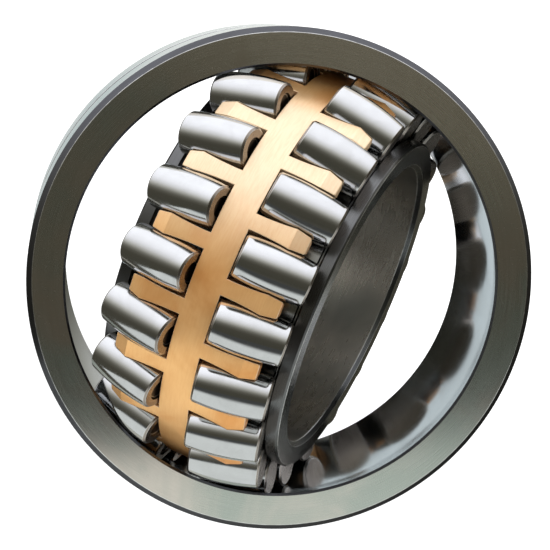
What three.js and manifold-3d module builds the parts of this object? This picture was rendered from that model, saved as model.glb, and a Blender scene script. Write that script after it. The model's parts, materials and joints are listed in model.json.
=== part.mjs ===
// Double-row spherical roller bearing with its inner set swung out of the outer ring.
// Millimetres. The origin is the centre of the spherical raceway. The outer ring's axis is Y,
// its front face looks to -Y, and the inner set is swivelled about Z.
import * as THREE from "three";
import { mergeVertices } from "three/addons/utils/BufferGeometryUtils.js";
import Module from "manifold-3d";

const wasm = await Module();
wasm.setup();

// Boundary dimensions
const OUTSIDE_DIAMETER = 280;
const BORE_DIAMETER = 170;
const WIDTH = 109;

// Outer ring
const RACEWAY_RADIUS = 130.2;          // sphere that both rows roll on
const OUTER_CHAMFER = 3.2;
const OPENING_CHAMFER = 1.3;
const GROOVE_WIDTH = 11;                // lubrication groove round the outside
const GROOVE_DEPTH = 1.6;
const OIL_HOLE_DIAMETER = 6;
const OIL_HOLES = 3;
const OIL_HOLE_PHASE = Math.PI / 4;     // first hole, about the ring's axis from +Z

// Rollers
const ROLLERS_PER_ROW = 20;
const ROLLER_DIAMETER = 26.8;
const ROLLER_LENGTH = 40.4;
const ROLLER_OFFSET = 29.1;            // roller centre from the middle plane
const ROLLER_CHAMFER = 1.1;
const BARREL_RADIUS = 127.6;           // lengthwise curve of the barrel
const PLAY = 0.4;                      // running gap at the raceways

// Cage
const CAGE_BORE_RADIUS = 110.5;
const CAGE_OUTSIDE_RADIUS = 118.6;
const CAGE_HALF_LENGTH = 40.4;
const PRONG_CHAMFER_LENGTH = 8.1;
const PRONG_CHAMFER_DEPTH = 3.5;
const POCKET_PLAY = 0.5;

// Guide ring
const GUIDE_BORE_RADIUS = 106.8;
const GUIDE_OUTSIDE_RADIUS = 109.8;
const GUIDE_END_PLAY = 0.5;

// Inner ring
const RIB_RADIUS = 100;
const LAND_RADIUS = 106;
const RIB_PLAY = 0.5;
const BORE_CHAMFER = 2.5;
const RIB_CHAMFER = 1.2;

// Pose at rest
const SWIVEL = THREE.MathUtils.degToRad(67.337);
const FRONT_ROW_PHASE = THREE.MathUtils.degToRad(12.75);
const REAR_ROW_PHASE = THREE.MathUtils.degToRad(3.75);

const RING_SIDES = 80;
const PITCH = (2 * Math.PI) / ROLLERS_PER_ROW;
const ROLLER_RADIUS = ROLLER_DIAMETER / 2;
const CENTRE_DISTANCE = RACEWAY_RADIUS - PLAY - ROLLER_RADIUS;
const CONTACT_ANGLE = Math.asin(ROLLER_OFFSET / CENTRE_DISTANCE);
const PITCH_RADIUS = CENTRE_DISTANCE * Math.cos(CONTACT_ANGLE);
const COS = Math.cos(CONTACT_ANGLE);
const SIN = Math.sin(CONTACT_ANGLE);

const steel = (color, roughness) =>
  new THREE.MeshStandardMaterial({ color, roughness, metalness: 1 });

// A body of revolution about Y from [radius, axial] points given anticlockwise.
function revolve(points, sides = RING_SIDES) {
  const profile = points.map(([r, y]) => new THREE.Vector2(r, y));
  return new THREE.LatheGeometry(profile, sides);
}

function solid(geometry) {
  const bare = geometry.index ? geometry.toNonIndexed() : geometry.clone();
  bare.deleteAttribute("normal");
  bare.deleteAttribute("uv");
  const merged = mergeVertices(bare, 1e-4);
  return new wasm.Manifold(new wasm.Mesh({
    numProp: 3,
    vertProperties: new Float32Array(merged.attributes.position.array),
    triVerts: new Uint32Array(merged.index.array),
  }));
}

function geometryOf(body) {
  const mesh = body.getMesh();
  const geometry = new THREE.BufferGeometry();
  geometry.setAttribute("position", new THREE.BufferAttribute(mesh.vertProperties, 3));
  geometry.setIndex(new THREE.BufferAttribute(mesh.triVerts, 1));
  geometry.computeVertexNormals();
  return geometry;
}

function part(name, geometry, material) {
  const mesh = new THREE.Mesh(geometry, material);
  mesh.name = name;
  return mesh;
}

// Point on a profile through the roller's own section: t runs along the roller's axis away from
// the middle plane, h is the height over that axis, away from the bearing's axis.
function rollerPoint(t, h) {
  return [PITCH_RADIUS - t * SIN + h * COS, ROLLER_OFFSET + t * COS + h * SIN];
}

const barrel = (t) =>
  ROLLER_RADIUS - (BARREL_RADIUS - Math.sqrt(BARREL_RADIUS * BARREL_RADIUS - t * t));

// Axial position of the plane square to the rollers at t, at radius r.
const planeAt = (t, r) => ROLLER_OFFSET + (t + (r - PITCH_RADIUS) * SIN) / COS;

function outerRing() {
  const R = OUTSIDE_DIAMETER / 2;
  const h = WIDTH / 2;
  const g = GROOVE_WIDTH / 2;
  const edge = h - OPENING_CHAMFER;
  const opening = Math.sqrt(RACEWAY_RADIUS ** 2 - edge ** 2);
  const outline = [
    [opening + OPENING_CHAMFER, -h], [R - OUTER_CHAMFER, -h], [R, -h + OUTER_CHAMFER],
    [R, -g], [R - GROOVE_DEPTH, -g + 1], [R - GROOVE_DEPTH, g - 1], [R, g],
    [R, h - OUTER_CHAMFER], [R - OUTER_CHAMFER, h], [opening + OPENING_CHAMFER, h],
  ];
  const steps = 10;
  const reach = Math.asin(edge / RACEWAY_RADIUS);
  for (let i = 0; i <= steps; i++) {
    const a = reach - (2 * reach * i) / steps;
    outline.push([RACEWAY_RADIUS * Math.cos(a), RACEWAY_RADIUS * Math.sin(a)]);
  }
  outline.push(outline[0]);
  let ring = solid(revolve(outline));
  for (let i = 0; i < OIL_HOLES; i++) {
    const drill = new THREE.CylinderGeometry(OIL_HOLE_DIAMETER / 2, OIL_HOLE_DIAMETER / 2, 24, 10);
    drill.rotateX(Math.PI / 2);
    drill.translate(0, 0, R);
    drill.rotateY(OIL_HOLE_PHASE + (2 * Math.PI * i) / OIL_HOLES);
    ring = ring.subtract(solid(drill));
  }
  return geometryOf(ring);
}

function innerRing() {
  const h = WIDTH / 2;
  const bore = BORE_DIAMETER / 2;
  const half = ROLLER_LENGTH / 2;
  const ribFace = planeAt(half + RIB_PLAY, RIB_RADIUS);
  const raceway = [];
  const steps = 4;
  for (let i = 0; i <= steps; i++) {
    const t = half + RIB_PLAY - (2 * half * i) / steps;
    raceway.push(rollerPoint(t, -barrel(t) - PLAY));
  }
  const land = planeAt(-half, LAND_RADIUS);
  const side = [[RIB_RADIUS - RIB_CHAMFER, h], [RIB_RADIUS, h - RIB_CHAMFER],
    [RIB_RADIUS, ribFace], ...raceway.slice(0, steps), [LAND_RADIUS, land]];
  const mirrored = side.map(([r, y]) => [r, -y]);
  const outline = [[bore + BORE_CHAMFER, h], [bore, h - BORE_CHAMFER], [bore, -h + BORE_CHAMFER],
    [bore + BORE_CHAMFER, -h], ...mirrored, ...side.reverse()];
  outline.push(outline[0]);
  return revolve(outline);
}

function guideRing() {
  const t = -ROLLER_LENGTH / 2 - GUIDE_END_PLAY;
  const low = planeAt(t, GUIDE_BORE_RADIUS);
  const high = planeAt(t, GUIDE_OUTSIDE_RADIUS);
  const outline = [[GUIDE_BORE_RADIUS, -low], [GUIDE_OUTSIDE_RADIUS, -high],
    [GUIDE_OUTSIDE_RADIUS, high], [GUIDE_BORE_RADIUS, low]];
  outline.push(outline[0]);
  return revolve(outline, 60);
}

function roller() {
  const half = ROLLER_LENGTH / 2;
  const full = half - ROLLER_CHAMFER;
  const outline = [[0, -half], [barrel(full) - ROLLER_CHAMFER, -half]];
  const steps = 4;
  for (let i = 0; i <= steps; i++) {
    const t = -full + (2 * full * i) / steps;
    outline.push([barrel(t), t]);
  }
  outline.push([barrel(full) - ROLLER_CHAMFER, half], [0, half]);
  return revolve(outline, 12);
}

// Direction of a roller's axis, leaning with the row, and its centre; row is +1 at the front.
function rollerSeat(row, index) {
  const phase = (row > 0 ? FRONT_ROW_PHASE : REAR_ROW_PHASE) + index * PITCH;
  const radial = new THREE.Vector3(Math.cos(phase), 0, Math.sin(phase));
  const axial = new THREE.Vector3(0, -1, 0);
  const centre = radial.clone().multiplyScalar(PITCH_RADIUS)
    .addScaledVector(axial, row * ROLLER_OFFSET);
  const axis = axial.clone().multiplyScalar(COS).addScaledVector(radial, -row * SIN);
  const turn = new THREE.Quaternion().setFromUnitVectors(new THREE.Vector3(0, 1, 0), axis);
  return { centre, turn };
}

function cage() {
  const e = CAGE_HALF_LENGTH;
  const outline = [
    [CAGE_BORE_RADIUS, -e], [CAGE_OUTSIDE_RADIUS - PRONG_CHAMFER_DEPTH, -e],
    [CAGE_OUTSIDE_RADIUS, -e + PRONG_CHAMFER_LENGTH], [CAGE_OUTSIDE_RADIUS, e - PRONG_CHAMFER_LENGTH],
    [CAGE_OUTSIDE_RADIUS - PRONG_CHAMFER_DEPTH, e], [CAGE_BORE_RADIUS, e],
  ];
  outline.push(outline[0]);
  let body = solid(revolve(outline));
  const sides = 16;
  const depth = 75;
  const radius = (ROLLER_RADIUS + POCKET_PLAY) / Math.cos(Math.PI / sides);
  const start = -ROLLER_LENGTH / 2 - GUIDE_END_PLAY - 0.1;
  for (const row of [1, -1]) {
    for (let i = 0; i < ROLLERS_PER_ROW; i++) {
      const seat = rollerSeat(row, i);
      const bore = new THREE.CylinderGeometry(radius, radius, depth, sides);
      bore.translate(0, row * (start + depth / 2), 0);
      bore.applyQuaternion(seat.turn);
      bore.translate(seat.centre.x, seat.centre.y, seat.centre.z);
      body = body.subtract(solid(bore));
    }
  }
  return geometryOf(body);
}

const bearing = new THREE.Group();
bearing.add(part("outer_ring", outerRing(), steel(0x8f908c, 0.34)));

const innerSet = new THREE.Group();
innerSet.rotation.z = SWIVEL;
innerSet.add(part("inner_ring", innerRing(), steel(0x7c7d79, 0.3)));
innerSet.add(part("guide_ring", guideRing(), steel(0x6f6f6c, 0.4)));
innerSet.add(part("cage", cage(), steel(0xd9a866, 0.42)));

for (const [row, label] of [[1, "front"], [-1, "rear"]]) {
  for (let i = 0; i < ROLLERS_PER_ROW; i++) {
    const seat = rollerSeat(row, i);
    const name = `roller_${label}_${String(i + 1).padStart(2, "0")}`;
    const mesh = part(name, roller(), steel(0xc9cbcc, 0.16));
    mesh.position.copy(seat.centre);
    mesh.quaternion.copy(seat.turn);
    innerSet.add(mesh);
  }
}
bearing.add(innerSet);

export default bearing;
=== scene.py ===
"""Double-row spherical roller bearing with its inner set swung out of the outer ring.

Every piece is turned or milled around its own axis in millimetres, then set in the frame's
metres on the body that carries it.
"""
import json
import math

import bmesh
import bpy
from mathutils import Euler, Matrix, Quaternion, Vector


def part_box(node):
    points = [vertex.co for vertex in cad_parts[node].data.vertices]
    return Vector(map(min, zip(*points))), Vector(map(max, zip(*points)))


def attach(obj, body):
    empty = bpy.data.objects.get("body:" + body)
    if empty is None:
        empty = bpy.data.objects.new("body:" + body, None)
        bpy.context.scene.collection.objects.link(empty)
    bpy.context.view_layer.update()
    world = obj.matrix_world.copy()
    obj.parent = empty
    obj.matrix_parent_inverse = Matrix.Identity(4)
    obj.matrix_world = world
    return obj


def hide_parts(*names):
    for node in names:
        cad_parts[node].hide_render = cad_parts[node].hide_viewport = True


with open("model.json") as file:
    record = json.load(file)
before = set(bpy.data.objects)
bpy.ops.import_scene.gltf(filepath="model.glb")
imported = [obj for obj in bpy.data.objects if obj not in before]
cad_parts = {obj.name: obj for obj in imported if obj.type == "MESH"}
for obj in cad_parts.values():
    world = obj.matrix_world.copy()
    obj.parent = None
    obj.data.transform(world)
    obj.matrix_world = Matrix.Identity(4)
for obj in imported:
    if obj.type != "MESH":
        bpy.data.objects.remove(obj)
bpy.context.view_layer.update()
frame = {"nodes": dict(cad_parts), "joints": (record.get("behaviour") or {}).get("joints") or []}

MM = 0.001
WELD = 0.002 * MM                       # points nearer than this are one point
PITCH_WELD = 0.004 * MM                 # the same where two pitches of the cage meet
JOINTS = {joint["name"]: joint for joint in frame["joints"]}

# Boundary sizes, from the frame
OUTSIDE_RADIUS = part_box("outer_ring")[1].x / MM
HALF_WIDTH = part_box("outer_ring")[1].y / MM
BORE_RADIUS = 85.0

# Outer ring
RACEWAY_RADIUS = 130.2
OUTER_CHAMFER = 3.2
OPENING_CHAMFER = 1.3
GROOVE_WIDTH = 11.0
GROOVE_DEPTH = 1.6
GROOVE_FLANK = 1.2
OIL_HOLE_RADIUS = 3.0
OIL_HOLES = 3
OIL_HOLE_PHASE = math.pi / 4
DRILL_START = 120.0                     # inside the raceway
COUNTERSINK = 3.0
COUNTERSINK_DEPTH = 0.5                 # how far the cone goes below the groove's bottom

# Rollers
ROLLERS_PER_ROW = 20
ROLLER_RADIUS = 13.4
ROLLER_HALF = 20.2
ROLLER_OFFSET = 29.1
ROLLER_CHAMFER = 1.1
RECESS_RADIUS = 6.6
RECESS_DEPTH = 1.3
RECESS_FLANK = 0.9
BARREL_RADIUS = 127.6
PLAY = 0.4

# Cage
CAGE_BORE_RADIUS = 110.5
CAGE_OUTSIDE_RADIUS = 118.6
CAGE_HALF_LENGTH = 40.4
PRONG_CHAMFER_LENGTH = 8.1
PRONG_CHAMFER_DEPTH = 3.5
POCKET_RADIUS = 13.9
POCKET_FLOOR = -20.8
CAGE_BEVEL = 0.45
CORNER_CUT = 0.5                        # small flat on a prong's upright corners

# Guide ring
GUIDE_BORE_RADIUS = 106.8
GUIDE_OUTSIDE_RADIUS = 109.8
GUIDE_END = -20.7

# Inner ring
RIB_RADIUS = 100.0
RIB_PLAY = 0.5
LAND_RADIUS = 106.0
BORE_CHAMFER = 2.5
RIB_CHAMFER = 1.2
RELIEF = 0.9
RELIEF_WIDTH = 2.4 * RELIEF

CENTRE_DISTANCE = RACEWAY_RADIUS - PLAY - ROLLER_RADIUS
CONTACT_ANGLE = math.asin(ROLLER_OFFSET / CENTRE_DISTANCE)
PITCH_RADIUS = CENTRE_DISTANCE * math.cos(CONTACT_ANGLE)
COS, SIN = math.cos(CONTACT_ANGLE), math.sin(CONTACT_ANGLE)
PITCH = 2 * math.pi / ROLLERS_PER_ROW

# Facets round each turned piece
OUTER_SIDES = 320
INNER_SIDES = 288
GUIDE_SIDES = 240
ROLLER_SIDES = 64
HOLE_SIDES = 48

# Which finish a stretch of an outline has; RACEWAY is the bore's on the inner ring
GROUND, TURNED, RACEWAY = 0, 1, 2
FINISH_LABELS = ("Ground", "Turned", "Raceway")

# Roundings up to this radius get less of the edge wear and painted highlight than larger ones
SMALL_ROUNDING = 0.3
SMALL_WEAR_AND_HIGHLIGHT = 0.4

ROUNDING_SHARE = 0.45                   # most of a stretch that one rounding may take
SUPPORT_SHARE = 2.5                     # a stretch this many times longer keeps its middle flat

inner_axis = Vector(JOINTS["inner_spin"]["axis"])
SWING = math.atan2(inner_axis.x, -inner_axis.y)
OUTER_TURN = Euler((math.pi / 2, 0, 0))
INNER_TURN = Euler((math.pi / 2, 0, SWING))


# ---------------------------------------------------------------- node helpers

def node(tree, kind, inputs=None, **settings):
    """Adds a node; inputs maps a socket's name or number to a value or to a socket."""
    made = tree.nodes.new(kind)
    for name, value in settings.items():
        setattr(made, name, value)
    for key, value in (inputs or {}).items():
        if isinstance(value, bpy.types.NodeSocket):
            tree.links.new(value, made.inputs[key])
        else:
            made.inputs[key].default_value = value
    return made


def maths(tree, operation, a, b=0.0, c=0.0, clamp=False):
    """A maths node's result; c counts only where the operation takes three numbers."""
    made = node(tree, "ShaderNodeMath", {0: a, 1: b, 2: c}, operation=operation, use_clamp=clamp)
    return made.outputs[0]


def spread(tree, value, low, high, to_low=0.0, to_high=1.0):
    """Maps low..high onto to_low..to_high, smoothly and clamped."""
    made = node(tree, "ShaderNodeMapRange", {0: value, 1: low, 2: high, 3: to_low, 4: to_high},
                interpolation_type="SMOOTHSTEP")
    return made.outputs[0]


def blend_colours(tree, share, a, b):
    """Colour a where share is 0 and colour b where it is 1."""
    return node(tree, "ShaderNodeMix", {0: share, 6: a, 7: b}, data_type="RGBA").outputs[2]


def new_group(name, kind, inputs, outputs):
    """A node group with named sockets: {name: (type, default or None)}."""
    tree = bpy.data.node_groups.new(name, kind)
    for label, (sort, default) in inputs.items():
        socket = tree.interface.new_socket(label, in_out="INPUT", socket_type="NodeSocket" + sort)
        if default is not None:
            socket.default_value = default
    for label, sort in outputs.items():
        tree.interface.new_socket(label, in_out="OUTPUT", socket_type="NodeSocket" + sort)
    return tree, node(tree, "NodeGroupInput").outputs, node(tree, "NodeGroupOutput")


def set_inputs(modifier, values):
    """Sets a Geometry Nodes modifier's inputs by the identifiers of their sockets."""
    for item in modifier.node_group.interface.items_tree:
        if item.item_type == "SOCKET" and item.in_out == "INPUT" and item.name in values:
            modifier[item.identifier] = values[item.name]


# ---------------------------------------------------------------- geometry node trees

def store(tree, geometry, name, value, sort, domain="POINT"):
    """Keeps a value on the mesh under a name that the materials read."""
    made = node(tree, "GeometryNodeStoreNamedAttribute", {"Geometry": geometry, "Name": name},
                data_type=sort, domain=domain)
    tree.links.new(value, made.inputs["Value"])
    return made.outputs[0]


def finish_tree_end(tree, mesh, inputs, output):
    """Turns a piece into its place, realizes it and gives each stretch its material."""
    turn = node(tree, "FunctionNodeEulerToRotation", {0: inputs["Turn"]}).outputs[0]
    mesh = node(tree, "GeometryNodeTransform", {"Geometry": mesh, "Rotation": turn,
                                                "Translation": inputs["Place"]}).outputs[0]
    mesh = node(tree, "GeometryNodeRealizeInstances", {0: mesh}).outputs[0]
    finish = node(tree, "GeometryNodeInputNamedAttribute", {"Name": "finish"}, data_type="INT")
    for number, label in enumerate(FINISH_LABELS):
        chosen = node(tree, "FunctionNodeCompare", {2: finish.outputs[0], 3: number},
                      data_type="INT", operation="EQUAL").outputs[0]
        mesh = node(tree, "GeometryNodeSetMaterial", {"Geometry": mesh, "Selection": chosen,
                                                      "Material": inputs[label]}).outputs[0]
    tree.links.new(mesh, output.inputs[0])


def make_turned_tree():
    """Sweeps an outline of [radius, axial] points round the Z axis."""
    tree, inputs, output = new_group("turned_piece", "GeometryNodeTree", {
        "Outline": ("Geometry", None), "Points": ("Int", 2), "Sides": ("Int", 64),
        "Turn": ("Vector", None), "Place": ("Vector", None), "Seed": ("Float", 0.0),
        "Ground": ("Material", None), "Turned": ("Material", None),
        "Raceway": ("Material", None)}, {"Mesh": "Geometry"})
    columns = maths(tree, "ADD", inputs["Sides"], 1)
    grid = node(tree, "GeometryNodeMeshGrid", {"Size X": 1.0, "Size Y": 1.0,
                                               "Vertices X": columns,
                                               "Vertices Y": inputs["Points"]}).outputs[0]
    index = node(tree, "GeometryNodeInputIndex").outputs[0]
    row = maths(tree, "MODULO", index, inputs["Points"])
    column = maths(tree, "FLOOR", maths(tree, "DIVIDE", index, inputs["Points"]))
    angle = maths(tree, "MULTIPLY", maths(tree, "DIVIDE", column, inputs["Sides"]), 2 * math.pi)

    def sampled(name, sort, at):
        value = node(tree, "GeometryNodeInputNamedAttribute", {"Name": name}, data_type=sort)
        return node(tree, "GeometryNodeSampleIndex", {"Geometry": inputs["Outline"],
                    "Value": value.outputs[0], "Index": at}, data_type=sort).outputs[0]

    stretch = maths(tree, "MODULO", index, maths(tree, "SUBTRACT", inputs["Points"], 1))
    mesh = store(tree, grid, "finish", sampled("finish", "INT", stretch), "INT", "FACE")
    mesh = store(tree, mesh, "edge", sampled("edge", "FLOAT", row), "FLOAT")
    mesh = store(tree, mesh, "along", sampled("along", "FLOAT", row), "FLOAT")
    position = node(tree, "GeometryNodeInputPosition").outputs[0]
    on_outline = node(tree, "GeometryNodeSampleIndex", {"Geometry": inputs["Outline"],
                      "Value": position, "Index": row}, data_type="FLOAT_VECTOR").outputs[0]
    swept = node(tree, "ShaderNodeVectorRotate", {"Vector": on_outline, "Angle": angle},
                 rotation_type="Z_AXIS").outputs[0]
    mesh = node(tree, "GeometryNodeSetPosition", {"Geometry": mesh, "Position": swept}).outputs[0]
    mesh = node(tree, "GeometryNodeMergeByDistance", {"Geometry": mesh,
                                                      "Distance": WELD}).outputs[0]
    mesh = store(tree, mesh, "local", position, "FLOAT_VECTOR")
    mesh = store(tree, mesh, "seed", inputs["Seed"], "FLOAT")
    mesh = node(tree, "GeometryNodeSetShadeSmooth", {"Geometry": mesh}).outputs[0]
    finish_tree_end(tree, mesh, inputs, output)
    return tree


def make_cage_tree():
    """Repeats one pitch of the cage round the Z axis and joins the copies into one ring."""
    tree, inputs, output = new_group("milled_cage", "GeometryNodeTree", {
        "Pitch piece": ("Geometry", None), "Count": ("Int", 20), "Start": ("Float", 0.0),
        "Turn": ("Vector", None), "Place": ("Vector", None),
        "Ground": ("Material", None), "Turned": ("Material", None),
        "Raceway": ("Material", None)}, {"Mesh": "Geometry"})
    seats = node(tree, "GeometryNodeMeshLine", {"Count": inputs["Count"],
                                                "Offset": (0.0, 0.0, 0.0)}).outputs[0]
    index = node(tree, "GeometryNodeInputIndex").outputs[0]
    share = maths(tree, "DIVIDE", index, inputs["Count"])
    angle = maths(tree, "ADD", maths(tree, "MULTIPLY", share, 2 * math.pi), inputs["Start"])
    round_z = node(tree, "ShaderNodeCombineXYZ", {"Z": angle}).outputs[0]
    rotation = node(tree, "FunctionNodeEulerToRotation", {0: round_z}).outputs[0]
    copies = node(tree, "GeometryNodeInstanceOnPoints", {"Points": seats,
                  "Instance": inputs["Pitch piece"], "Rotation": rotation}).outputs[0]
    mesh = node(tree, "GeometryNodeRealizeInstances", {0: copies}).outputs[0]
    mesh = node(tree, "GeometryNodeMergeByDistance", {"Geometry": mesh,
                                                      "Distance": PITCH_WELD}).outputs[0]
    position = node(tree, "GeometryNodeInputPosition").outputs[0]
    mesh = store(tree, mesh, "local", position, "FLOAT_VECTOR")
    finish_tree_end(tree, mesh, inputs, output)
    return tree


# ---------------------------------------------------------------- outlines of turned pieces

def rounded(corners, closed=True, steps=6, band=0.5):
    """Rounds the corners of an outline.

    corners holds (radius, axial, rounding, finish of the stretch that follows), anticlockwise.
    Gives (radius, axial, finish, edge): edge, the mask for edge wear and painted highlight, is 1
    on a rounding, less on a small one, and 0 a band away from it.
    """
    points = []
    count = len(corners)
    for i, (r, z, rounding, finish) in enumerate(corners):
        here = Vector((r, z))
        if rounding <= 0:
            points.append((r, z, finish, 0.0))
            continue
        before_corner = corners[i - 1]
        before = Vector(before_corner[:2]) - here
        after = Vector(corners[(i + 1) % count][:2]) - here
        half = before.angle(after) / 2
        reach = min(rounding / math.tan(half), ROUNDING_SHARE * before.length,
                    ROUNDING_SHARE * after.length)
        radius = reach * math.tan(half)
        before_length, after_length = before.length, after.length
        before.normalize()
        after.normalize()
        centre = here + (before + after).normalized() * (radius / math.sin(half))
        first = here + before * reach - centre
        last = here + after * reach - centre
        sweep = math.atan2(first.x * last.y - first.y * last.x, first.dot(last))
        if before_length > SUPPORT_SHARE * (reach + band):
            support = here + before * (reach + band)
            points.append((support.x, support.y, before_corner[3], 0.0))
        for k in range(steps + 1):
            angle = sweep * k / steps
            turned = Matrix.Rotation(angle, 2) @ first
            own = before_corner[3] if k < steps / 2 else finish
            # The edge mask carries edge wear and painted highlight
            edge_wear_and_highlight = 1.0 if rounding > SMALL_ROUNDING else SMALL_WEAR_AND_HIGHLIGHT
            points.append((centre.x + turned.x, centre.y + turned.y, own, edge_wear_and_highlight))
        if after_length > SUPPORT_SHARE * (reach + band):
            support = here + after * (reach + band)
            points.append((support.x, support.y, finish, 0.0))
    if closed:
        points.append(points[0])
    return points


def outline_mesh(name, points):
    """The outline as a mesh in the XZ plane that carries finish, edge and run length."""
    mesh = bpy.data.meshes.new(name)
    mesh.from_pydata([(r * MM, 0.0, z * MM) for r, z, _, _ in points], [], [])
    along = [0.0]
    for a, b in zip(points, points[1:]):
        along.append(along[-1] + math.hypot(b[0] - a[0], b[1] - a[1]) * MM)
    mesh.attributes.new("finish", "INT", "POINT").data.foreach_set("value", [p[2] for p in points])
    mesh.attributes.new("edge", "FLOAT", "POINT").data.foreach_set("value", [p[3] for p in points])
    mesh.attributes.new("along", "FLOAT", "POINT").data.foreach_set("value", along)
    return mesh


def barrel(t):
    """Radius of a roller at t from its middle."""
    return ROLLER_RADIUS - (BARREL_RADIUS - math.sqrt(BARREL_RADIUS ** 2 - t * t))


def roller_point(t, height):
    """Radius and axial place in a front roller's section; t runs away from the middle plane."""
    return (PITCH_RADIUS - t * SIN + height * COS, ROLLER_OFFSET + t * COS + height * SIN)


def plane_at(t, radius):
    """Axial place, at a radius, of the plane square to the front rollers at t."""
    return ROLLER_OFFSET + (t + (radius - PITCH_RADIUS) * SIN) / COS


def outer_ring_outline():
    edge = HALF_WIDTH - OPENING_CHAMFER
    opening = math.sqrt(RACEWAY_RADIUS ** 2 - edge ** 2)
    chamfer_start = OUTSIDE_RADIUS - OUTER_CHAMFER
    groove = GROOVE_WIDTH / 2
    bottom = OUTSIDE_RADIUS - GROOVE_DEPTH
    lower = [
        (opening + OPENING_CHAMFER, -HALF_WIDTH, 0.25, GROUND),
        (chamfer_start, -HALF_WIDTH, 0.5, TURNED),
        (OUTSIDE_RADIUS, -HALF_WIDTH + OUTER_CHAMFER, 0.3, GROUND),
        (OUTSIDE_RADIUS, -groove, 0.4, TURNED),
        (bottom, -groove + GROOVE_FLANK, 0.6, TURNED),
    ]
    upper = [
        (bottom, groove - GROOVE_FLANK, 0.6, TURNED),
        (OUTSIDE_RADIUS, groove, 0.4, GROUND),
        (OUTSIDE_RADIUS, HALF_WIDTH - OUTER_CHAMFER, 0.3, TURNED),
        (chamfer_start, HALF_WIDTH, 0.5, GROUND),
        (opening + OPENING_CHAMFER, HALF_WIDTH, 0.25, TURNED),
    ]
    reach = math.asin(edge / RACEWAY_RADIUS)
    steps = 60
    raceway = []
    for i in range(steps + 1):
        angle = reach - 2 * reach * i / steps
        rounding = 0.2 if i in (0, steps) else 0.0
        finish = TURNED if i == steps else RACEWAY
        raceway.append((RACEWAY_RADIUS * math.cos(angle), RACEWAY_RADIUS * math.sin(angle),
                        rounding, finish))
    return rounded(lower + upper + raceway, band=0.2)


def walked_back(track):
    """The same corners in the other order, each with the finish of the stretch ahead of it."""
    walked = []
    for i in range(len(track) - 1, -1, -1):
        radius, axial, rounding, _ = track[i]
        walked.append((radius, axial, rounding, track[i - 1][3] if i else GROUND))
    return walked


def inner_ring_outline():
    """Bore, side faces, ribs, two raceways with relief grooves, and the middle land."""
    rib_end = ROLLER_HALF + RIB_PLAY
    foot_height = -barrel(ROLLER_HALF) - PLAY
    track = [
        (RIB_RADIUS - RIB_CHAMFER, HALF_WIDTH, 0.35, TURNED),
        (RIB_RADIUS, HALF_WIDTH - RIB_CHAMFER, 0.3, TURNED),
        (RIB_RADIUS, plane_at(rib_end, RIB_RADIUS), 0.3, TURNED),
        (*roller_point(rib_end, foot_height), 0.0, TURNED),
        (*roller_point(rib_end - RELIEF, foot_height - RELIEF), 0.5, TURNED),
    ]
    start = rib_end - RELIEF_WIDTH
    steps = 22
    for i in range(steps + 1):
        t = start - (start + ROLLER_HALF - 0.4) * i / steps
        track.append((*roller_point(t, -barrel(t) - PLAY), 0.0 if i else 0.2, GROUND))
    track.append((LAND_RADIUS, plane_at(-ROLLER_HALF + 0.2, LAND_RADIUS), 0.3, GROUND))
    bore_low = [(BORE_RADIUS, -HALF_WIDTH + BORE_CHAMFER, 0.5, TURNED),
                (BORE_RADIUS + BORE_CHAMFER, -HALF_WIDTH, 0.4, GROUND)]
    bore_high = [(BORE_RADIUS + BORE_CHAMFER, HALF_WIDTH, 0.4, TURNED),
                 (BORE_RADIUS, HALF_WIDTH - BORE_CHAMFER, 0.5, RACEWAY)]
    lower = [(radius, -axial, rounding, finish) for radius, axial, rounding, finish in track]
    return rounded(bore_low + lower + walked_back(track) + bore_high)


def guide_ring_outline():
    low = plane_at(GUIDE_END, GUIDE_BORE_RADIUS)
    high = plane_at(GUIDE_END, GUIDE_OUTSIDE_RADIUS)
    return rounded([(GUIDE_BORE_RADIUS, -low, 0.3, GROUND),
                    (GUIDE_OUTSIDE_RADIUS, -high, 0.3, TURNED),
                    (GUIDE_OUTSIDE_RADIUS, high, 0.3, GROUND),
                    (GUIDE_BORE_RADIUS, low, 0.3, TURNED)])


def roller_outline(side):
    """Half a barrel roller's section, end to end; only the end towards side is recessed."""
    full = ROLLER_HALF - ROLLER_CHAMFER
    end_radius = barrel(full) - ROLLER_CHAMFER
    recess = [(0.0, ROLLER_HALF - RECESS_DEPTH, 0.0, TURNED),
              (RECESS_RADIUS - RECESS_FLANK, ROLLER_HALF - RECESS_DEPTH, 0.6, TURNED),
              (RECESS_RADIUS, ROLLER_HALF, 0.25, GROUND),
              (end_radius, ROLLER_HALF, 0.5, GROUND)]
    flat = [(0.0, ROLLER_HALF, 0.0, GROUND), (end_radius, ROLLER_HALF, 0.5, GROUND)]
    low = [(radius, -axial, rounding, finish)
           for radius, axial, rounding, finish in (recess if side < 0 else flat)]
    steps = 24
    surface = []
    for i in range(steps + 1):
        t = -full + 2 * full * i / steps
        surface.append((barrel(t), t, 0.5 if i in (0, steps) else 0.0,
                        GROUND if i == steps else RACEWAY))
    high = [(end_radius, ROLLER_HALF, 0.5, GROUND)]
    if side > 0:
        high += [(RECESS_RADIUS, ROLLER_HALF, 0.25, TURNED),
                 (RECESS_RADIUS - RECESS_FLANK, ROLLER_HALF - RECESS_DEPTH, 0.6, TURNED),
                 (0.0, ROLLER_HALF - RECESS_DEPTH, 0.0, TURNED)]
    else:
        high.append((0.0, ROLLER_HALF, 0.0, GROUND))
    return rounded(low + surface + high, closed=False, steps=4, band=0.3)


# ---------------------------------------------------------------- one pitch of the cage

TIP_COLUMNS = 4
SIDE_COLUMNS = 5
WEB_ROWS = 4
WALL_ROWS = 6
PRONG_ROWS = 8
CONE_ROWS = 4
SETTLING_ROUNDS = 8                     # enough for angles found by repeated substitution
BEVEL_STEPS = 5
HALF_PITCH = PITCH / 2


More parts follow.
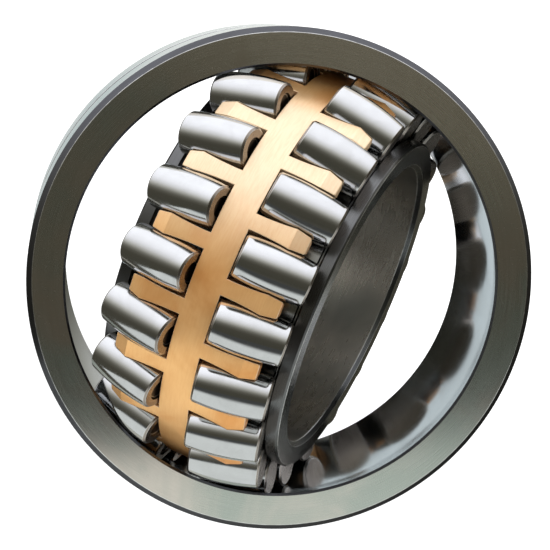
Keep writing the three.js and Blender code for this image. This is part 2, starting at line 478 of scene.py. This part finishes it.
def cage_top(z):
    """Outside radius of the cage, which falls away in a cone towards the prong tips."""
    into_cone = (abs(z) - CAGE_HALF_LENGTH + PRONG_CHAMFER_LENGTH) / PRONG_CHAMFER_LENGTH
    return CAGE_OUTSIDE_RADIUS - PRONG_CHAMFER_DEPTH * max(0.0, into_cone)


def cage_levels():
    """(share of the depth, offset from it, inset of the outline) from the outside to the bore."""
    turns = [math.pi / 2 * k / BEVEL_STEPS for k in range(BEVEL_STEPS + 1)]
    bevel = [(1 - math.cos(turn), 1 - math.sin(turn)) for turn in turns]
    top = [(0.0, CAGE_BEVEL * down, CAGE_BEVEL * aside) for down, aside in bevel]
    walls = [(k / WALL_ROWS, 0.0, 0.0) for k in range(1, WALL_ROWS)]
    bottom = [(1.0, -CAGE_BEVEL * down, CAGE_BEVEL * aside) for down, aside in reversed(bevel)]
    return top + walls + bottom


def level_radius(level, z):
    """Radius of a level at an axial place."""
    share, offset, _ = level
    top = cage_top(z)
    return top + (CAGE_BORE_RADIUS - top) * share - offset


def wall_angle(radius, z, inset):
    """Angle from the middle of a front pocket to its wall."""
    angle = POCKET_RADIUS / CAGE_OUTSIDE_RADIUS
    for _ in range(SETTLING_ROUNDS):
        height = (radius * math.cos(angle) - PITCH_RADIUS) * COS + (z - ROLLER_OFFSET) * SIN
        angle = math.asin(math.sqrt((POCKET_RADIUS + inset) ** 2 - height ** 2) / radius)
    return angle


def floor_place(radius, angle, inset):
    """Axial place of a front pocket's floor."""
    return plane_at(POCKET_FLOOR - inset, radius * math.cos(angle))


def root(level):
    """Angle and axial place of the corner between a pocket's wall and its floor."""
    angle = POCKET_RADIUS / CAGE_OUTSIDE_RADIUS
    for _ in range(SETTLING_ROUNDS):
        radius = level_radius(level, 0)
        z = floor_place(radius, angle, level[2])
        angle = wall_angle(radius, z, level[2])
    return angle, z


def prong_stations(level):
    """Axial places from a prong's root to its tip, with its angle at each."""
    _, low = root(level)
    inset = level[2]
    cone = CAGE_HALF_LENGTH - PRONG_CHAMFER_LENGTH
    tip = CAGE_HALF_LENGTH - inset
    places = [low + (cone - low) * k / PRONG_ROWS for k in range(PRONG_ROWS)]
    places += [cone + (tip - CORNER_CUT - cone) * k / CONE_ROWS for k in range(CONE_ROWS + 1)]
    stations = [(z, wall_angle(level_radius(level, z), z, inset)) for z in places]
    radius = level_radius(level, tip)
    stations.append((tip, wall_angle(radius, tip, inset) + CORNER_CUT / radius))
    return stations


def half_path(level):
    """The front outline from the middle of a prong's tip to the middle of a pocket's floor."""
    stations = prong_stations(level)
    corner, _ = root(level)
    tip_z, tip_angle = stations[-1]
    path = [(HALF_PITCH + (tip_angle - HALF_PITCH) * k / TIP_COLUMNS, tip_z)
            for k in range(TIP_COLUMNS)]
    path += [(angle, z) for z, angle in reversed(stations)]
    inner = HALF_PITCH - corner
    radius = level_radius(level, 0)
    across = [corner + (inner - corner) * k / SIDE_COLUMNS for k in range(1, SIDE_COLUMNS)]
    across += [inner * (1 - k / TIP_COLUMNS) for k in range(TIP_COLUMNS + 1)]
    return path + [(angle, floor_place(radius, angle, level[2])) for angle in across]


def front_edge(level):
    """One pitch's front outline, from the middle of a prong round a pocket to the next one."""
    half = half_path(level)
    return [(-angle, z) for angle, z in half] + [(angle, z) for angle, z in reversed(half)][1:]


def rear_edge(level):
    """One pitch's rear outline, half a pitch round from the front one."""
    half = half_path(level)
    first = [(angle - HALF_PITCH, -z) for angle, z in reversed(half)]
    return first + [(HALF_PITCH - angle, -z) for angle, z in half][1:]


def web_columns(corner):
    """Angles across one pitch, with a stop at every corner of either row."""
    inner = HALF_PITCH - corner
    stops = [(-HALF_PITCH, TIP_COLUMNS), (-corner, SIDE_COLUMNS), (-inner, 2 * TIP_COLUMNS),
             (inner, SIDE_COLUMNS), (corner, TIP_COLUMNS), (HALF_PITCH, 0)]
    angles = []
    for (a, count), (b, _) in zip(stops, stops[1:]):
        angles += [a + (b - a) * k / count for k in range(count)]
    return angles + [HALF_PITCH]


def cage_surface(level):
    """Grids of (angle, axial) rows that cover the outside or the bore of one pitch."""
    corner, low = root(level)
    radius = level_radius(level, 0)

    def front(angle):
        return floor_place(radius, angle, level[2]) if abs(angle) < corner else low

    def rear(angle):
        return -front(HALF_PITCH - abs(angle))

    columns = web_columns(corner)
    grids = [[[(angle, rear(angle) + (front(angle) - rear(angle)) * k / WEB_ROWS)
               for angle in columns] for k in range(WEB_ROWS + 1)]]
    prong = [[(angle + (HALF_PITCH - angle) * j / TIP_COLUMNS, z)
              for j in range(TIP_COLUMNS + 1)] for z, angle in prong_stations(level)]
    grids.append(prong)
    grids.append([[(-angle, z) for angle, z in reversed(row)] for row in prong])
    grids.append([[(HALF_PITCH - angle, -z) for angle, z in row] for row in prong])
    grids.append([[(angle - HALF_PITCH, -z) for angle, z in reversed(row)] for row in prong])
    return grids


def cage_pitch_mesh():
    """One pitch of the cage, open where it meets the next one."""
    shape = bmesh.new()
    finish = shape.faces.layers.int.new("finish")
    edge = shape.verts.layers.float.new("edge")
    levels = cage_levels()
    last = len(levels) - 1

    def add_grid(rows, milled):
        for low, high in zip(rows, rows[1:]):
            for k in range(len(low) - 1):
                face = shape.faces.new((low[k], low[k + 1], high[k + 1], high[k]))
                face[finish] = TURNED if milled else GROUND

    def points(path, level, worn_and_highlit=0.0):
        made = []
        for angle, z in path:
            radius = level_radius(level, z)
            vertex = shape.verts.new((radius * math.cos(angle) * MM,
                                      radius * math.sin(angle) * MM, z * MM))
            vertex[edge] = worn_and_highlit
            made.append(vertex)
        return made

    # Bevel rows carry the edge mask, for edge wear and painted highlight
    for path_of in (front_edge, rear_edge):
        add_grid([points(path_of(level), level, float(0 < min(k, last - k) < BEVEL_STEPS))
                  for k, level in enumerate(levels)], True)
    for level in (levels[0], levels[-1]):
        for grid in cage_surface(level):
            add_grid([points(row, level) for row in grid], False)
    bmesh.ops.remove_doubles(shape, verts=shape.verts, dist=WELD)
    mesh = bpy.data.meshes.new("cage_pitch")
    shape.to_mesh(mesh)
    shape.free()
    return mesh


# ---------------------------------------------------------------- shared finish groups

def make_lay_group():
    """Fine lines left by grinding or turning: they run round a piece and follow its outline."""
    tree, inputs, output = new_group("turning_lay", "ShaderNodeTree", {
        "Along": ("Float", 0.0), "Place": ("Vector", None), "Spacing": ("Float", 0.0004),
        "Waver": ("Float", 6.0)}, {"Height": "Float", "Lines": "Float"})
    parts = node(tree, "ShaderNodeSeparateXYZ", {0: inputs["Place"]}).outputs
    flat = node(tree, "ShaderNodeCombineXYZ", {"X": parts[0], "Y": parts[1]}).outputs[0]
    unit = node(tree, "ShaderNodeVectorMath", {0: flat}, operation="NORMALIZE").outputs[0]
    round_it = node(tree, "ShaderNodeSeparateXYZ", {0: unit}).outputs
    step = maths(tree, "DIVIDE", inputs["Along"], inputs["Spacing"])
    at = node(tree, "ShaderNodeCombineXYZ", {
        "X": step, "Y": maths(tree, "MULTIPLY", round_it[0], inputs["Waver"]),
        "Z": maths(tree, "MULTIPLY", round_it[1], inputs["Waver"])}).outputs[0]
    fine = node(tree, "ShaderNodeTexNoise", {"Vector": at, "Scale": 1.0, "Detail": 3.0,
                                             "Roughness": 0.65}).outputs[0]
    tree.links.new(fine, output.inputs["Height"])
    tree.links.new(spread(tree, fine, 0.35, 0.68), output.inputs["Lines"])
    return tree


def make_film_group():
    """Oil film and handling marks in soft patches, with a few finer streaks."""
    tree, inputs, output = new_group("oil_film", "ShaderNodeTree", {
        "Place": ("Vector", None), "Seed": ("Float", 0.0), "Size": ("Float", 0.03)},
        {"Film": "Float", "Specks": "Float"})
    offset = node(tree, "ShaderNodeCombineXYZ", {"X": inputs["Seed"], "Y": inputs["Seed"]})
    scaled = node(tree, "ShaderNodeVectorMath", {0: inputs["Place"]}, operation="SCALE")
    tree.links.new(maths(tree, "DIVIDE", 1.0, inputs["Size"]), scaled.inputs["Scale"])
    at = node(tree, "ShaderNodeVectorMath", {0: scaled.outputs[0], 1: offset.outputs[0]},
              operation="ADD").outputs[0]
    patches = node(tree, "ShaderNodeTexNoise", {"Vector": at, "Scale": 1.0, "Detail": 4.0,
                                                "Roughness": 0.55, "Distortion": 0.6}).outputs[0]
    grains = node(tree, "ShaderNodeTexNoise", {"Vector": at, "Scale": 60.0,
                                               "Detail": 2.0}).outputs[0]
    tree.links.new(spread(tree, patches, 0.36, 0.66), output.inputs["Film"])
    tree.links.new(spread(tree, grains, 0.66, 0.78), output.inputs["Specks"])
    return tree


def make_edge_group():
    """Bright wear and painted highlight along rounded edges, broken up so that it isn't one even
    line.
    """
    tree, inputs, output = new_group("worn_and_highlit_edge", "ShaderNodeTree", {
        "Edge": ("Float", 0.0), "Place": ("Vector", None)}, {"Worn and highlit": "Float"})
    patches = node(tree, "ShaderNodeTexNoise", {"Vector": inputs["Place"], "Scale": 180.0,
                                                "Detail": 3.0}).outputs[0]
    near = spread(tree, inputs["Edge"], 0.35, 1.0)
    worn_and_highlit = maths(tree, "MULTIPLY", near, spread(tree, patches, 0.3, 0.6, 0.45, 1.0))
    tree.links.new(worn_and_highlit, output.inputs["Worn and highlit"])
    return tree


GROUPS = {"lay": make_lay_group(), "film": make_film_group(), "edge": make_edge_group()}


def grouped(tree, name, inputs):
    """Outputs of one of the shared groups."""
    return node(tree, "ShaderNodeGroup", inputs, node_tree=GROUPS[name]).outputs


def attribute(tree, name, output):
    """A value that the piece's mesh carries."""
    return node(tree, "ShaderNodeAttribute", attribute_name=name).outputs[output]


def new_material(name):
    """A material with one shader, its node tree and that shader."""
    material = bpy.data.materials.new(name)
    material.use_nodes = True
    tree = material.node_tree
    tree.nodes.clear()
    shader = node(tree, "ShaderNodeBsdfPrincipled")
    node(tree, "ShaderNodeOutputMaterial", {"Surface": shader.outputs[0]})
    return material, tree, shader


# Edge colours, partly wear and partly painted highlight
STEEL_WEAR_AND_HIGHLIGHT = (0.8, 0.79, 0.77, 1.0)
BRASS_WEAR_AND_HIGHLIGHT = (1.0, 0.86, 0.6, 1.0)

# What the oil film, the lay lines and the specks add to a roughness
FILM_ROUGH = 0.06
LINES_ROUGH = 0.05
SPECKS_ROUGH = 0.08
BRASS_FILM_ROUGH = 0.08

# Stretches of a piece's own Y, in metres, over which painted light turns the upper side paler; the
# cage's second stretch brings painted shade back at its very top
RING_PAINTED_LIGHT = (0.05, 0.135)
CAGE_PAINTED_LIGHT = (-0.005, 0.055)
CAGE_PAINTED_SHADE_AT_TOP = (0.105, 0.088)

LAY_WAVER = 5.0                         # breaks the lay lines this often round a piece
BRASS_WAVER = 14.0
BRASS_FILM_SEED = 3.0
BRASS_FILM_SIZE = 0.045
BRASS_TARNISH = 0.85
BRASS_LINED = 0.16
BRASS_EDGE_WEAR_AND_HIGHLIGHT = 0.5
BRASS_METALLIC = 0.6                    # a dull skin keeps some of its own colour in any light


def painted_light_share(tree, place, stretch):
    """Share that grows along a piece's own Y, which points up once the piece is in place: the
    share of painted light on its upper side.
    """
    return spread(tree, node(tree, "ShaderNodeSeparateXYZ", {0: place}).outputs[1], *stretch)


def metal_finish(name, colour, dull, roughness, spacing, depth, film=0.25, film_size=0.03,
                 lined=0.25, edge_wear_and_highlight=0.55, painted_light_colour=None):
    """A cut or ground metal surface: lay lines, an oil film, bright edges that are partly wear and
    partly painted highlight, and, where asked, painted light on its upper side.

    The film and the lines take the colour towards dull, by the shares film and lined. spacing
    and depth are the lines' and film_size is the film's patches', in metres. The last two
    arguments set how bright the edges are, as edge wear and painted highlight, and the paler
    colour of the piece's upper side, which is painted light.
    """
    material, tree, shader = new_material(name)
    place = attribute(tree, "local", "Vector")
    seed = attribute(tree, "seed", "Fac")
    lay = grouped(tree, "lay", {"Along": attribute(tree, "along", "Fac"), "Place": place,
                                "Spacing": spacing, "Waver": LAY_WAVER})
    oil = grouped(tree, "film", {"Place": place, "Seed": seed, "Size": film_size})
    worn_and_highlit = grouped(tree, "edge", {"Edge": attribute(tree, "edge", "Fac"), "Place": place})
    shade = maths(tree, "MULTIPLY", oil["Film"], film)
    tinted = blend_colours(tree, shade, (*colour, 1.0), (*dull, 1.0))
    # Painted light: the upper side of the piece turns paler
    if painted_light_colour:
        tinted = blend_colours(tree, painted_light_share(tree, place, RING_PAINTED_LIGHT), tinted,
                               (*painted_light_colour, 1.0))
    streaked = blend_colours(tree, maths(tree, "MULTIPLY", lay["Lines"], lined), tinted,
                             (*dull, 1.0))
    # The bright edges are partly wear and partly painted highlight
    bright = maths(tree, "MULTIPLY", worn_and_highlit["Worn and highlit"], edge_wear_and_highlight)
    tree.links.new(blend_colours(tree, bright, streaked, STEEL_WEAR_AND_HIGHLIGHT),
                   shader.inputs["Base Color"])
    rough = maths(tree, "ADD", maths(tree, "MULTIPLY", oil["Film"], FILM_ROUGH), roughness)
    rough = maths(tree, "ADD", rough, maths(tree, "MULTIPLY", lay["Lines"], LINES_ROUGH))
    rough = maths(tree, "ADD", rough, maths(tree, "MULTIPLY", oil["Specks"], SPECKS_ROUGH))
    tree.links.new(rough, shader.inputs["Roughness"])
    shader.inputs["Metallic"].default_value = 1.0
    bump = node(tree, "ShaderNodeBump", {"Strength": 1.0, "Distance": depth,
                                         "Height": lay["Height"]})
    tree.links.new(bump.outputs[0], shader.inputs["Normal"])
    return material


def cage_finish(name, colour, dull, painted_light_colour, roughness, mark_size, depth):
    """Brass cut on a mill or lathe, with patches of warm tarnish, painted light on its upper side
    that gives way to painted shade at the very top, and bright edges that are partly wear and
    partly painted highlight.
    """
    material, tree, shader = new_material(name)
    place = attribute(tree, "local", "Vector")
    oil = grouped(tree, "film", {"Place": place, "Seed": BRASS_FILM_SEED,
                                 "Size": BRASS_FILM_SIZE})
    worn_and_highlit = grouped(tree, "edge", {"Edge": attribute(tree, "edge", "Fac"), "Place": place})
    axial = node(tree, "ShaderNodeSeparateXYZ", {0: place}).outputs[2]
    lay = grouped(tree, "lay", {"Along": axial, "Place": place, "Spacing": mark_size,
                                "Waver": BRASS_WAVER})
    tarnish = maths(tree, "MULTIPLY", oil["Film"], BRASS_TARNISH)
    warm = blend_colours(tree, tarnish, (*colour, 1.0), (*dull, 1.0))
    # Painted light: paler on the upper side, and painted shade again at the very top, under the
    # outer ring's raceway
    painted_light_amount = maths(tree, "MULTIPLY", painted_light_share(tree, place, CAGE_PAINTED_LIGHT),
                 painted_light_share(tree, place, CAGE_PAINTED_SHADE_AT_TOP))
    tinted = blend_colours(tree, painted_light_amount, warm, (*painted_light_colour, 1.0))
    lined = blend_colours(tree, maths(tree, "MULTIPLY", lay["Lines"], BRASS_LINED), tinted,
                          (*dull, 1.0))
    # The bright edges are partly wear and partly painted highlight
    bright = maths(tree, "MULTIPLY", worn_and_highlit["Worn and highlit"], BRASS_EDGE_WEAR_AND_HIGHLIGHT)
    tree.links.new(blend_colours(tree, bright, lined, BRASS_WEAR_AND_HIGHLIGHT),
                   shader.inputs["Base Color"])
    rough = maths(tree, "ADD", maths(tree, "MULTIPLY", oil["Film"], BRASS_FILM_ROUGH), roughness)
    rough = maths(tree, "ADD", rough, maths(tree, "MULTIPLY", lay["Lines"], LINES_ROUGH))
    tree.links.new(rough, shader.inputs["Roughness"])
    shader.inputs["Metallic"].default_value = BRASS_METALLIC
    bump = node(tree, "ShaderNodeBump", {"Strength": 1.0, "Distance": depth,
                                         "Height": lay["Height"]})
    tree.links.new(bump.outputs[0], shader.inputs["Normal"])
    return material


# Each piece's ground, turned and raceway finishes; the cage is turned or milled
FINISHES = {
    "outer": (
        # The outer ring's ground finish carries painted light: paler on its upper side
        metal_finish("outer_ring_ground", (0.72, 0.65, 0.58), (0.48, 0.52, 0.47), 0.2,
                     0.00035, 0.0000025, film=1.0, film_size=0.08, lined=0.05, edge_wear_and_highlight=0.9,
                     painted_light_colour=(1.0, 0.93, 0.82)),
        metal_finish("outer_ring_turned", (0.11, 0.11, 0.12), (0.07, 0.07, 0.07), 0.25,
                     0.0005, 0.00002, edge_wear_and_highlight=0.9),
        metal_finish("outer_raceway_honed", (0.60, 0.62, 0.63), (0.52, 0.53, 0.53), 0.08,
                     0.00025, 0.000002, film=0.3, film_size=0.04, lined=0.1)),
    "inner": (
        metal_finish("inner_ring_ground", (0.36, 0.355, 0.34), (0.26, 0.265, 0.255), 0.14,
                     0.0004, 0.000006, film=0.6, film_size=0.05, lined=0.15, edge_wear_and_highlight=0.8),
        metal_finish("inner_ring_turned", (0.17, 0.17, 0.17), (0.11, 0.11, 0.11), 0.25,
                     0.0006, 0.00002, edge_wear_and_highlight=0.8),
        metal_finish("inner_ring_bore", (0.76, 0.71, 0.64), (0.38, 0.38, 0.36), 0.24,
                     0.0005, 0.000004, film=1.0, film_size=0.11, lined=0.1, edge_wear_and_highlight=0.9)),
    "guide": (
        metal_finish("guide_ring_ground", (0.42, 0.42, 0.41), (0.27, 0.27, 0.26), 0.28,
                     0.0004, 0.00001),
        metal_finish("guide_ring_turned", (0.25, 0.25, 0.24), (0.16, 0.16, 0.16), 0.34,
                     0.0005, 0.00002)),
    "roller": (
        metal_finish("roller_end_ground", (0.40, 0.35, 0.31), (0.28, 0.24, 0.21), 0.24,
                     0.00045, 0.00001, film=0.4, film_size=0.008),
        metal_finish("roller_end_recess", (0.10, 0.085, 0.075), (0.06, 0.05, 0.045), 0.34,
                     0.0006, 0.00002, film=0.5, film_size=0.005),
        metal_finish("roller_superfinished", (0.66, 0.66, 0.665), (0.54, 0.535, 0.53), 0.08,
                     0.0002, 0.0000015, film=0.3, film_size=0.012, lined=0.1)),
    "cage": (
        cage_finish("cage_brass_turned", (0.93, 0.54, 0.22), (0.73, 0.31, 0.08),
                    (0.95, 0.75, 0.52), 0.30, 0.0009, 0.00001),
        # The milled brass, on the walls of the pockets and prongs, is darker and more orange:
        # painted shade between the rollers
        cage_finish("cage_brass_milled_painted_shade", (0.80, 0.42, 0.18), (0.56, 0.24, 0.08),
                    (0.84, 0.60, 0.36), 0.32, 0.0012, 0.00002)),
}


# ---------------------------------------------------------------- pieces

TURNED_TREE = make_turned_tree()
CAGE_TREE = make_cage_tree()
SHARP = 38                              # degrees between two faces that makes an edge sharp
CAGE_SHARP = 21                         # keeps the crease where the prongs' cone starts
SEED_STEP = 1.7                         # sets the rollers' oil films apart


def linked(name, mesh):
    thing = bpy.data.objects.new(name, mesh)
    bpy.context.scene.collection.objects.link(thing)
    return thing


def settled(carrier, name):
    """What a carrier and its modifiers make, as a plain object; the carrier goes away."""
    bpy.context.view_layer.update()
    graph = bpy.context.evaluated_depsgraph_get()
    mesh = bpy.data.meshes.new_from_object(carrier.evaluated_get(graph))
    mesh.name = name
    bpy.data.objects.remove(carrier)
    return linked(name, mesh)


def shaded(piece, sharp=SHARP):
    """Sharp where two faces meet at more than that many degrees, and flat faces kept flat."""
    name = piece.name
    piece.data.set_sharp_from_angle(angle=math.radians(sharp))
    piece.name = name + "_blank"
    weighted = piece.modifiers.new("flat faces", "WEIGHTED_NORMAL")
    weighted.keep_sharp = True
    return settled(piece, name)


def grown(name, mesh, tree, values, finishes):
    """Runs a geometry node tree on a mesh, with a material for each finish that it has."""
    carrier = linked(name + "_carrier", mesh)
    modifier = carrier.modifiers.new("making", "NODES")
    modifier.node_group = tree
    set_inputs(modifier, {**values, **dict(zip(FINISH_LABELS, finishes))})
    return settled(carrier, name)


def turned_piece(name, outline, sides, turn, finishes, place=(0, 0, 0), seed=0.0):
    """A piece turned from an outline, in metres, set at its turn and place."""
    mesh = outline_mesh(name + "_outline", outline)
    return grown(name, mesh, TURNED_TREE, {
        "Points": len(outline), "Sides": sides, "Turn": tuple(turn), "Place": tuple(place),
        "Seed": seed}, finishes)


def mount(piece, node_name):
    """Puts a piece on the body of the CAD node that it stands for."""
    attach(piece, node_name)
    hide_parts(node_name)


def make_outer_ring():
    """The turned ring with its countersunk oil holes drilled through to the raceway."""
    ring = turned_piece("outer_ring_body", outer_ring_outline(), OUTER_SIDES, OUTER_TURN,
                        FINISHES["outer"])
    cone = OUTSIDE_RADIUS - GROOVE_DEPTH - COUNTERSINK_DEPTH
    top = cone + COUNTERSINK
    hole = rounded([(0.0, DRILL_START, 0.0, TURNED), (OIL_HOLE_RADIUS, DRILL_START, 0.0, TURNED),
                    (OIL_HOLE_RADIUS, cone, 0.0, TURNED),
                    (OIL_HOLE_RADIUS + COUNTERSINK, top, 0.0, TURNED),
                    (0.0, top, 0.0, TURNED)], closed=False)
    for i in range(OIL_HOLES):
        turn = Euler((0, OIL_HOLE_PHASE + 2 * math.pi * i / OIL_HOLES, 0))
        drill = turned_piece("oil_drill", hole, HOLE_SIDES, turn, FINISHES["outer"])
        cut = ring.modifiers.new("oil hole", "BOOLEAN")
        cut.operation = "DIFFERENCE"
        cut.solver = "EXACT"
        cut.object = drill
        cut.material_mode = "TRANSFER"
        drilled = settled(ring, "outer_ring_body")
        bpy.data.objects.remove(drill)
        ring = drilled
    mount(shaded(ring), "outer_ring")


def make_inner_ring():
    ring = turned_piece("inner_ring_body", inner_ring_outline(), INNER_SIDES, INNER_TURN,
                        FINISHES["inner"])
    mount(shaded(ring), "inner_ring")


def make_guide_ring():
    ring = turned_piece("guide_ring_body", guide_ring_outline(), GUIDE_SIDES, INNER_TURN,
                        FINISHES["guide"])
    mount(shaded(ring), "guide_ring")


def make_rollers():
    """Forty barrels, each on its own leaning axis; only their inner ends are recessed."""
    outlines = {"front": roller_outline(-1), "rear": roller_outline(1)}
    rollers = sorted(name for name in frame["nodes"] if name.startswith("roller_"))
    for i, name in enumerate(rollers):
        joint = JOINTS[name + "_spin"]
        lean = Vector((0, 0, 1)).rotation_difference(Vector(joint["axis"])).to_euler()
        outline = outlines[name.split("_")[1]]
        roller = turned_piece(name + "_barrel", outline, ROLLER_SIDES, lean,
                              FINISHES["roller"], joint["pos_m"], seed=SEED_STEP * i)
        mount(shaded(roller), name)


def make_cage():
    first = Vector(JOINTS["roller_front_01_spin"]["pos_m"])
    first.rotate(INNER_TURN.to_matrix().inverted())
    cage = grown("cage_body", cage_pitch_mesh(), CAGE_TREE, {
        "Count": ROLLERS_PER_ROW, "Start": math.atan2(first.y, first.x),
        "Turn": tuple(INNER_TURN), "Place": (0, 0, 0)}, FINISHES["cage"])
    shape = bmesh.new()
    shape.from_mesh(cage.data)
    bmesh.ops.recalc_face_normals(shape, faces=shape.faces)
    shape.to_mesh(cage.data)
    shape.free()
    cage.data.shade_smooth()
    mount(shaded(cage, CAGE_SHARP), "cage")


make_outer_ring()
make_inner_ring()
make_guide_ring()
make_rollers()
make_cage()


# ---------------------------------------------------------------- studio

FLOOR_DEPTH = 0.34
FLOOR_RADIUS = 2.2

# The camera stands a little above and to the left, rolled so that the frame's Z leans right
CAMERA_TARGET = Vector((0.00268, 0.0, -0.0026))
CAMERA_AZIMUTH = math.radians(-8.95)
CAMERA_ELEVATION = math.radians(5.287)
CAMERA_ROLL = math.radians(22.62)
CAMERA_DISTANCE = 1.0726
LENS = 121.43

TO_CAMERA = Vector((math.sin(CAMERA_AZIMUTH) * math.cos(CAMERA_ELEVATION),
                    -math.cos(CAMERA_AZIMUTH) * math.cos(CAMERA_ELEVATION),
                    math.sin(CAMERA_ELEVATION)))
CAMERA_TURN = (-TO_CAMERA).to_track_quat("-Z", "Y") @ Quaternion((0, 0, 1), CAMERA_ROLL)
ROOM_UP = CAMERA_TURN @ Vector((0, 1, 0))

# Behind the bearing and to its left hangs a backdrop, whose edge fades between two cosines
BACKDROP = Vector((-0.26, 0.966, 0.0))
BACKDROP_EDGE = (0.885, 0.915)
BACKDROP_COLOUR = (0.70, 0.78, 0.81, 1.0)
SEEN_WHITE = (1.5, 1.5, 1.5, 1.0)       # the room as seen directly and by dull surfaces

# How bright the room is at each elevation, in degrees over its own horizon
ROOM_PEAK = 1.6
ROOM = [(-90, (0.44, 0.44, 0.42)), (-62, (0.27, 0.27, 0.25)), (-46, (0.09, 0.088, 0.075)),
        (-30, (0.068, 0.066, 0.05)), (-8, (0.078, 0.074, 0.056)), (2, (0.13, 0.125, 0.10)),
        (9, (0.24, 0.235, 0.20)), (15, (0.43, 0.425, 0.38)), (22, (0.69, 0.69, 0.65)),
        (30, (0.96, 0.97, 0.98)), (44, (1.28, 1.30, 1.36)), (65, (1.46, 1.49, 1.56))]


def make_floor():
    shape = bmesh.new()
    bmesh.ops.create_circle(shape, cap_ends=True, radius=FLOOR_RADIUS, segments=128)
    bmesh.ops.translate(shape, verts=shape.verts, vec=(0, 0, -FLOOR_DEPTH))
    mesh = bpy.data.meshes.new("studio_floor")
    shape.to_mesh(mesh)
    shape.free()
    floor = linked("studio_floor", mesh)
    floor.visible_glossy = False
    material, _, shader = new_material("pale_floor")
    shader.inputs["Base Color"].default_value = (0.9, 0.9, 0.9, 1.0)
    shader.inputs["Roughness"].default_value = 0.9
    mesh.materials.append(material)


def make_bounce_card():
    """A pale card on the table just in front of the bearing, seen only in its reflections."""
    near, far, half_width, drop = 0.03, 0.30, 0.34, 0.160
    fade_start, fade_end, lit, dim = 0.165, 0.225, 0.88, 0.07
    right = CAMERA_TURN @ Vector((1, 0, 0))
    corners = [right * side * half_width + TO_CAMERA * reach - ROOM_UP * drop
               for side, reach in ((-1, near), (1, near), (1, far), (-1, far))]
    mesh = bpy.data.meshes.new("bounce_card")
    mesh.from_pydata(corners, [], [(0, 1, 2, 3)])
    card = linked("bounce_card", mesh)
    card.visible_camera = False
    card.visible_diffuse = False
    card.visible_shadow = False
    material = bpy.data.materials.new("bounce_card_white")
    material.use_nodes = True
    tree = material.node_tree
    tree.nodes.clear()
    place = node(tree, "ShaderNodeTexCoord").outputs["Object"]
    reach = node(tree, "ShaderNodeVectorMath", {0: place, 1: TO_CAMERA},
                 operation="DOT_PRODUCT").outputs["Value"]
    fading = spread(tree, reach, fade_start, fade_end, lit, dim)
    glow = node(tree, "ShaderNodeEmission", {"Color": (0.95, 1.0, 0.98, 1.0),
                                             "Strength": fading})
    node(tree, "ShaderNodeOutputMaterial", {"Surface": glow.outputs[0]})
    mesh.materials.append(material)


def make_room():
    """Bright overhead, dim round the horizon but for a backdrop, white where it is seen."""
    world = bpy.data.worlds.new("studio_room")
    bpy.context.scene.world = world
    world.use_nodes = True
    tree = world.node_tree
    tree.nodes.clear()
    towards = node(tree, "ShaderNodeTexCoord").outputs["Generated"]
    rise = node(tree, "ShaderNodeVectorMath", {0: towards, 1: ROOM_UP},
                operation="DOT_PRODUCT").outputs["Value"]
    behind = node(tree, "ShaderNodeVectorMath", {0: towards, 1: BACKDROP},
                  operation="DOT_PRODUCT").outputs["Value"]
    level = node(tree, "ShaderNodeValToRGB",
                 {0: maths(tree, "MULTIPLY_ADD", rise, 0.5, 0.5)})
    ramp = level.color_ramp
    for i, (elevation, colour) in enumerate(ROOM):
        place = (math.sin(math.radians(elevation)) + 1) / 2
        stop = ramp.elements[i] if i < 2 else ramp.elements.new(place)
        stop.position = place
        stop.color = (*[value / ROOM_PEAK for value in colour], 1.0)
    bright = node(tree, "ShaderNodeVectorMath", {0: level.outputs[0]}, operation="SCALE")
    bright.inputs["Scale"].default_value = ROOM_PEAK
    room = blend_colours(tree, spread(tree, behind, *BACKDROP_EDGE), bright.outputs[0],
                         BACKDROP_COLOUR)
    path = node(tree, "ShaderNodeLightPath").outputs
    plain = maths(tree, "ADD", path["Is Camera Ray"], path["Is Diffuse Ray"], clamp=True)
    colour = blend_colours(tree, plain, room, SEEN_WHITE)
    back = node(tree, "ShaderNodeBackground", {"Color": colour, "Strength": 1.0})
    node(tree, "ShaderNodeOutputWorld", {"Surface": back.outputs[0]})


def make_camera():
    lens = bpy.data.cameras.new("studio_camera")
    lens.lens = LENS
    lens.sensor_width = 36.0
    camera = linked("studio_camera", lens)
    camera.rotation_mode = "QUATERNION"
    camera.location = CAMERA_TARGET + TO_CAMERA * CAMERA_DISTANCE
    camera.rotation_quaternion = CAMERA_TURN
    bpy.context.scene.camera = camera


make_floor()
make_bounce_card()
make_room()
make_camera()
bpy.context.scene.view_settings.view_transform = "Standard"
